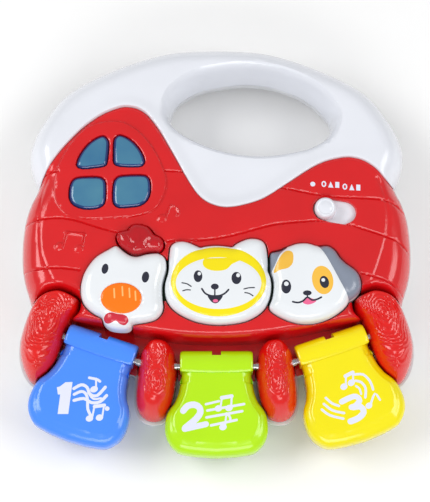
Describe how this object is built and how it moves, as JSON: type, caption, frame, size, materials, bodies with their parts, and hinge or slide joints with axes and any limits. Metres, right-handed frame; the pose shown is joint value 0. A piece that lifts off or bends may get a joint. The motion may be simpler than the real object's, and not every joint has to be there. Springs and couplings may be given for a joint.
{
  "type": "toy electronic keyboard",
  "caption": "Barn-shaped toy keyboard with a carrying handle, hinged piano keys between rounded legs, animal-face push buttons, a window insert and a slide switch.",
  "frame": {"origin": "middle of the outline in plan, on the plane the rubber feet rest on", "axes": "+Z out of the face, +Y towards the carrying handle, +X to the right when the keys face the player; the toy lies on its back"},
  "size_m": [0.194, 0.2119, 0.0407],
  "materials": {
    "casing_red": "glossy",
    "leg_red": "glossy, textured crown",
    "roof_white": "glossy",
    "back_white": "satin",
    "button_white": "glossy, printed",
    "lens_blue": "clear tinted plastic",
    "comb_red": "clear tinted plastic",
    "key_blue": "glossy, printed",
    "key_green": "glossy, printed",
    "key_yellow": "glossy, printed",
    "steel": "bright",
    "rubber_grey": "matte",
    "black_plastic": "matte",
    "board_green": "satin",
    "cone_black": "matte",
    "cell_wrap": "satin",
    "led_clear": "clear"
  },
  "bodies": {
    "casing": {"back_casing": "back_white", "battery_1": "cell_wrap", "battery_2": "cell_wrap", "battery_door": "back_white", "battery_door_screw": "steel", "case_screw_1": "steel", "case_screw_2": "steel", "case_screw_3": "steel", "case_screw_4": "steel", "case_screw_5": "steel", "case_screw_6": "steel", "case_screw_7": "steel", "case_screw_8": "steel", "cat_dome": "rubber_grey", "chicken_dome": "rubber_grey", "contact_left": "steel", "contact_right": "steel", "dog_dome": "rubber_grey", "foot_1": "rubber_grey", "foot_2": "rubber_grey", "foot_3": "rubber_grey", "foot_4": "rubber_grey", "front_casing": "casing_red", "key_board_blue": "board_green", "key_board_green": "board_green", "key_board_yellow": "board_green", "key_pin_blue": "steel", "key_pin_green": "steel", "key_pin_yellow": "steel", "key_switch_blue": "black_plastic", "key_switch_green": "black_plastic", "key_switch_yellow": "black_plastic", "leg_inner_left": "leg_red", "leg_inner_right": "leg_red", "leg_outer_left": "leg_red", "leg_outer_right": "leg_red", "leg_screw_inner_left": "steel", "leg_screw_inner_right": "steel", "leg_screw_outer_left": "steel", "leg_screw_outer_right": "steel", "main_board": "board_green", "roof_cover": "roof_white", "slide_switch": "black_plastic", "sound_chip": "black_plastic", "speaker_cone": "cone_black", "speaker_frame": "steel", "speaker_magnet": "black_plastic", "switch_board": "board_green", "window_board": "board_green", "window_led_1": "led_clear", "window_led_2": "led_clear", "window_lens": "lens_blue"},
    "blue_key": {"key_blue": "key_blue"},
    "green_key": {"key_green": "key_green"},
    "yellow_key": {"key_yellow": "key_yellow"},
    "chicken": {"chicken_button": "button_white", "chicken_comb": "comb_red"},
    "cat": {"cat_button": "button_white"},
    "dog": {"dog_button": "button_white"},
    "switch": {"switch_slider": "roof_white"}
  },
  "joints": [
    {"name": "blue_key_hinge", "type": "hinge", "parent": "casing", "child": "blue_key", "pos_m": [-0.0563, -0.0539, 0.0225], "axis": [0.9455, -0.3256, 0], "range_deg": [0, 7], "stiffness_Nm_per_rad": 0.3, "springref_deg": -6.88},
    {"name": "green_key_hinge", "type": "hinge", "parent": "casing", "child": "green_key", "pos_m": [0, -0.0624, 0.0225], "axis": [1, 0, 0], "range_deg": [0, 7], "stiffness_Nm_per_rad": 0.3, "springref_deg": -6.88},
    {"name": "yellow_key_hinge", "type": "hinge", "parent": "casing", "child": "yellow_key", "pos_m": [0.0563, -0.0539, 0.0225], "axis": [0.9455, 0.3256, 0], "range_deg": [0, 7], "stiffness_Nm_per_rad": 0.3, "springref_deg": -6.88},
    {"name": "chicken_press", "type": "slide", "parent": "casing", "child": "chicken", "axis": [0, 0, -1], "range_m": [0, 0.002], "stiffness_N_per_m": 800, "springref_m": -0.001, "deforming": ["chicken_dome"]},
    {"name": "cat_press", "type": "slide", "parent": "casing", "child": "cat", "axis": [0, 0, -1], "range_m": [0, 0.002], "stiffness_N_per_m": 800, "springref_m": -0.001, "deforming": ["cat_dome"]},
    {"name": "dog_press", "type": "slide", "parent": "casing", "child": "dog", "axis": [0, 0, -1], "range_m": [0, 0.002], "stiffness_N_per_m": 800, "springref_m": -0.001, "deforming": ["dog_dome"]},
    {"name": "volume_slide", "type": "slide", "parent": "casing", "child": "switch", "axis": [0.9863, -0.165, 0], "range_m": [0, 0.0085]}
  ]
}
